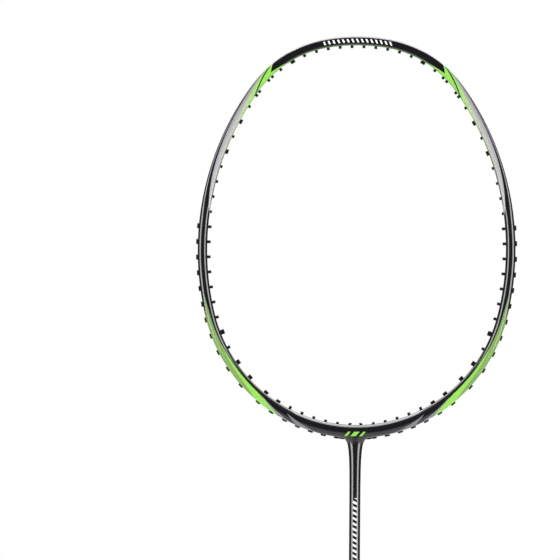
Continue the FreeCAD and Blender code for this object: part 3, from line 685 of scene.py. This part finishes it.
def wrap_height(turn, height):
    """Relief of the wound strip: a lap where it covers its last turn, then a soft crown."""
    v = wrap_position(turn, height)
    lap = smooth(0, LAP_FRONT, v) * (1 - smooth(WRAP_LAP, WRAP_LAP + LAP_BACK, v))
    share = np.clip((v - WRAP_LAP) / (WRAP_PITCH - WRAP_LAP), 0, 1)
    return LAP_RISE * lap + WRAP_CROWN * np.sin(share * math.pi)


def make_grip():
    """Strip wound up the handle as one sleeve, down to the butt and up under the tape."""
    turns = even_turns(GRIP_COLUMNS)
    heights = np.linspace(grip_low[2], tape_low[2] + GRIP_UNDER_TAPE, GRIP_ROWS)
    phases = np.random.default_rng(WAVE_SEED).uniform(0, 2 * math.pi, WAVES)
    rings = []
    for height in heights:
        grown = GRIP_THICKNESS + flare(height) - LAP_RISE + LAP_PROUD
        radius = handle_radius(turns, grown) + wrap_height(turns, height)
        for number, phase in enumerate(phases):
            wave = np.sin((number + 2) * turns + height / (4 + 3 * number) + phase)
            radius = radius + WAVE_HEIGHT * wave
        radius = radius - BUTT_INSET * (1 - smooth(0, BUTT_ROUND, height - grip_low[2]))
        rings.append(ring(radius, turns, height))
    for height in (heights[-1], *FLARE_LEVELS, grip_low[2]):  # down the inside, on the core
        rings.append(ring(handle_radius(turns, flare(height)), turns, height))
    wrap = make_object("grip_wrap", *rings_to_tube(rings), grip_skin(), sharp=60)
    fit(wrap, "base_grip")


def grip_skin():
    """Polyurethane film: pebbled skin, rows of small holes and a pressed line by the edge."""
    tree = Tree("grip_polyurethane_skin", Sheen_Weight=0.05, Sheen_Roughness=0.5)
    point = tree.place()
    x, y, z = tree.split(point)
    turn = y.do("ARCTAN2", x) / (2 * math.pi)
    across = (z / WRAP_PITCH - turn).fraction() * WRAP_PITCH
    around = 2 * math.pi * HOLE_CIRCLE / HOLES_A_TURN
    row = across / HOLE_ROWS
    shift = (row.do("FLOOR") * 0.5).fraction()
    u = ((turn * HOLES_A_TURN + shift).fraction() - 0.5) * around
    v = (row.fraction() - 0.5) * HOLE_ROWS
    away = (u * u + v * v).do("SQRT")
    holes = away.under(HOLE_RADIUS, 0.25)
    holes = holes * between(across, WRAP_LAP + 2.0, WRAP_PITCH - 1.4, 0.3)
    seam = abs(across - SEAM_PLACE).under(SEAM_HALF, 0.3)
    pebble = tree.cells(point, 0.9)
    shade = tree.mix(tree.noise(point, 7.0, 4.0), GRIP_DARK, GRIP_LIGHT)
    shade = tree.mix(pebble.ramp(0.2, 0.7), shade, GRIP_PEBBLE)
    worn = tree.noise(point, 14.0, 3.0).ramp(0.5, 0.75)
    # the holes are painted near black: painted shade inside them
    shade = tree.mix(holes, tree.mix(worn * 0.35, shade, GRIP_WORN), HOLE_PAINTED_SHADE)
    tree.set("Base_Color", shade)
    tree.set("Roughness", (worn * -0.1 + 0.52) + pebble * 0.12)
    tree.bump(pebble * -0.25 - holes * 1.6 - seam * 0.9, 0.22)
    return tree.material


def make_tape():
    """Two turns of tape round the grip's end, drawn in on the cone with small pleats."""
    turns = even_turns(TAPE_COLUMNS)
    bottom, top = tape_low[2], tape_high[2]
    drawn = grip_high[2] - TAPE_DRAWN
    edge = bottom + TAPE_EDGE + TAPE_SLANT * np.sin(turns / 2) ** 2
    pleats = 0.09 * np.sin(9 * turns + 1.3 * np.sin(2 * turns)) + 0.05 * np.sin(17 * turns + 0.7)
    circle = cone_high[0] + TAPE_THICKNESS
    rings = []
    for height in np.linspace(bottom, top, TAPE_ROWS):
        second = smooth(-0.15, 0.15, height - edge)
        grown = GRIP_THICKNESS + TAPE_THICKNESS - TAPE_SET + TAPE_STEP * second
        grown = grown - TAPE_THIN * (1 - smooth(0, TAPE_ROUND, height - bottom))
        closing = smooth(drawn, top, height)
        round_end = (circle + pleats * (1 - closing) * 2) * closing
        radius = handle_radius(turns, grown) * (1 - closing) + round_end
        rings.append(ring(radius, turns, height))
    rings.append(ring(np.full(TAPE_COLUMNS, cone_high[0]), turns, top))
    hidden = handle_radius(turns, GRIP_THICKNESS - TAPE_INSET)
    rings += [ring(hidden, turns, drawn), ring(hidden, turns, bottom + 0.3)]
    wrap = make_object("tape_wrap", *rings_to_tube(rings), tape_skin(), sharp=50)
    fit(wrap, "finishing_tape")


def tape_skin():
    """Vinyl film with a faint grain along its length."""
    tree = Tree("tape_vinyl_skin")
    point = tree.place()
    weave = tree.noise(tree.stretched(point, 1.0, 1.0, 3.0), 0.5, 2.0)
    tree.set("Base_Color", tree.mix(tree.noise(point, 5.0, 3.0), TAPE_DARK, TAPE_LIGHT))
    tree.set("Roughness", weave.ramp(0.3, 0.7, 0.3, 0.46))
    tree.bump(weave, 0.05)
    return tree.material


def make_cone():
    """Glossy cone: a bead at its foot, a long hollow side and a rolled lip at its tip."""
    low, high = cone_low[2], cone_high[2]
    foot, waist, tip = CONE_RADII
    height = high - low
    shoulder = low + height / 5
    knots = ((shoulder, foot), (low + height * 0.55, waist), (high, tip))
    side = [(parabola(knots, level), level) for level in np.linspace(shoulder, high - 1.2, 40)]
    bead = [(foot - 0.5, low), (foot - 0.12, low + 0.12), (foot, low + 0.5), (foot, shoulder - 1.3),
            (foot - 0.05, shoulder - 1.1), (foot - 0.25, shoulder - 0.8),
            (foot - 0.25, shoulder - 0.4), (foot - 0.06, shoulder - 0.15)]
    end = side[-1][0]
    lip = [(end + 0.02, high - 1.1), (end + 0.12, high - 0.8), (end + 0.12, high - 0.35),
           (end - 0.02, high - 0.1), (end - 0.25, high), (SHAFT_RADIUS - 0.1, high)]
    gloss = moulded("cone_plastic_gloss", (0.0095, 0.0095, 0.011), 0.2, 2.5, 0.01, coat=1.0)
    fit(turned_solid("cone_shell", bead + side + lip, gloss), "cone_cap")


def make_badge():
    """Thin disc let into the butt: two turned grooves round a plain boss."""
    low, high = badge_low[2], badge_high[2]
    radius = badge_high[0]
    rings = [(8.3, 0.06), (7.6, 0.0), (7.2, 0.0), (7.0, 0.14), (6.5, 0.14), (6.3, 0.02), (4.2, 0.0),
             (4.0, 0.16), (3.6, 0.16), (3.4, 0.03), (1.6, 0.0), (0.6, 0.0)]
    outline = [(r, low + z) for r, z in reversed(rings)]
    outline += [(radius, low + 0.2), (radius, high)]
    tree = Tree("badge_dome", Coat_Weight=1.0, Coat_Roughness=0.03)
    point = tree.place()
    x, y, _ = tree.split(point)
    away = (x * x + y * y).do("SQRT")
    band = between(away, 4.1, 6.4, 0.1)
    tree.set("Base_Color", tree.mix(band, SILVER, LIME))
    tree.set("Roughness", tree.noise(point, 0.6, 3.0).ramp(0.3, 0.7, 0.25, 0.4))
    tree.bump(tree.noise(point, 0.8, 2.0), 0.01)
    fit(turned_solid("badge_disc", outline, tree.material, 128), "butt_badge")


# ---------------------------------------------------------------- head


def make_head():
    """Band and neck skins in one mesh, with lengths along and inward for the paint."""
    half = np.linspace(0, head.length, int(head.length / HEAD_SPACING))
    stations = np.concatenate([half, -half[-2:0:-1]])
    rings, along, inward = band_rings(stations)
    rows, columns = rings.shape[:2]
    faces = grid_faces(rows, columns, round_rows=True)
    points = rings.reshape(-1, 3).tolist()
    neck_points, neck_faces = rings_to_solid(neck_rings(), first=len(points))
    along = along.ravel().tolist() + [head.length - NECK_PAINT] * len(neck_points)
    inward = inward.ravel().tolist() + [0.0] * len(neck_points)
    shell = make_object("head_shell", points + neck_points, faces + neck_faces, frame_paint())
    for name, values in (("along", along), ("inward", inward)):
        shell.data.attributes.new(name, "FLOAT", "POINT").data.foreach_set("value", values)
    fit(shell, "head_frame")


def give(node, material):
    """The CAD node keeps its mesh and takes that material."""
    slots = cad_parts[node].data.materials
    slots.clear()
    slots.append(material)


make_head()
make_grip()
make_tape()
make_cone()
make_badge()
nylon = moulded("grommet_nylon_moulded", (0.007, 0.007, 0.008), 0.46, 0.35, 0.02, specular=0.2)
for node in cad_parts:
    if "grommets" in node:
        give(node, nylon)
give("shaft", shaft_paint())
give("butt_cap", moulded("cap_plastic_grained", (0.013, 0.013, 0.015), 0.5, 0.3, 0.05))
give("t_joint", metal("joint_metal_cast", (0.62, 0.62, 0.64), 0.45, (1.0, 1.0, 1.0)))
give("grip_staple", metal("staple_steel_drawn", (0.6, 0.6, 0.6), 0.3, (0.1, 1.0, 1.0)))
give("handle_core", bare_wood())

# ---------------------------------------------------------------- studio

# Sizes here are in metres, apart from the floor's radii, which a mesh scales like every other.
VIEW_WIDTH, SENSOR, LENS = 0.3556, 0.036, 0.400  # the view's width at the racket, and the camera's
VIEW_SIDE, VIEW_DROP = -0.0485, 0.1548  # the view's middle from the racket's axis and its top
VIEW_ROLL = math.radians(0.4)
LAMPS = {  # azimuth, elevation, distance, width, height, watts
    "softbox_right": (57, 0, 1.3, 0.72, 1.3, 22),
    "softbox_left": (-57, 0, 1.3, 0.72, 1.3, 22),
    "softbox_top": (180, 84, 1.1, 1.1, 1.5, 34),
    "softbox_back_right": (135, 44, 1.5, 1.0, 1.0, 12),
    "softbox_back_left": (-135, 44, 1.5, 1.0, 1.0, 12),
}
WORLD_FILL, BACKDROP = 0.05, 1.0
FLOOR_RADII, FLOOR_SIDES = (60, 250, 600, 1200), 96
FLOOR_GAP = 0.0002  # below the butt

head_middle = Vector((0.0, 0.0, (head.bottom + head_top) / 2 * MM))


def softbox(name, azimuth, elevation, distance, width, height, watts):
    """Rectangular lamp that faces the head's middle; azimuth 0 is the camera's side."""
    turn, rise = math.radians(azimuth), math.radians(elevation)
    out = Vector((math.sin(turn) * math.cos(rise), -math.cos(turn) * math.cos(rise), math.sin(rise)))
    lamp = bpy.data.lights.new(name, "AREA")
    lamp.shape, lamp.size, lamp.size_y, lamp.energy = "RECTANGLE", width, height, watts
    made = bpy.data.objects.new(name, lamp)
    made.location = head_middle + out * distance
    made.rotation_euler = out.to_track_quat("Z", "Y").to_euler()
    made.visible_camera = False
    bpy.context.scene.collection.objects.link(made)


for lamp_name, lamp_values in LAMPS.items():
    softbox(lamp_name, *lamp_values)


def make_world():
    """White where the camera sees past the racket, and a faint fill light everywhere else."""
    world = bpy.data.worlds.new("studio")
    world.use_nodes = True
    nodes, links = world.node_tree.nodes, world.node_tree.links
    fill, backdrop = nodes["Background"], nodes.new("ShaderNodeBackground")
    for background, strength in ((fill, WORLD_FILL), (backdrop, BACKDROP)):
        background.inputs["Color"].default_value = (1.0, 1.0, 1.0, 1.0)
        background.inputs["Strength"].default_value = strength
    path, mix = nodes.new("ShaderNodeLightPath"), nodes.new("ShaderNodeMixShader")
    links.new(path.outputs["Is Camera Ray"], mix.inputs[0])
    links.new(fill.outputs[0], mix.inputs[1])
    links.new(backdrop.outputs[0], mix.inputs[2])
    links.new(mix.outputs[0], nodes["World Output"].inputs[0])
    bpy.context.scene.world = world


def make_floor():
    """Round floor just under the butt, closed with a fan at its middle."""
    turns = even_turns(FLOOR_SIDES)
    rings = [ring(radius, turns, 0.0) for radius in FLOOR_RADII]
    points = np.concatenate(rings).tolist() + [[0, 0, 0]]
    fan = [(n, (n + 1) % FLOOR_SIDES, len(points) - 1) for n in range(FLOOR_SIDES)]
    tree = Tree("pale_floor", Base_Color=(0.5, 0.5, 0.5), Roughness=0.6)
    faces = grid_faces(len(FLOOR_RADII), FLOOR_SIDES) + fan
    floor = make_object("floor", points, faces, tree.material)
    floor.location.z = cad_box[0].z - FLOOR_GAP


def make_camera():
    lens = bpy.data.cameras.new("camera")
    lens.sensor_width, lens.lens = SENSOR / MM, LENS / MM
    camera = bpy.data.objects.new("camera", lens)
    distance = VIEW_WIDTH * LENS / SENSOR
    aim = Vector((VIEW_SIDE, 0.0, head_top * MM - VIEW_DROP))
    upright = Matrix.Rotation(math.pi / 2, 4, "X") @ Matrix.Rotation(VIEW_ROLL, 4, "Z")
    camera.matrix_world = Matrix.Translation(aim - Vector((0, distance, 0))) @ upright
    bpy.context.scene.collection.objects.link(camera)
    bpy.context.scene.camera = camera


make_world()
make_floor()
make_camera()
bpy.context.scene.view_settings.view_transform = "Standard"
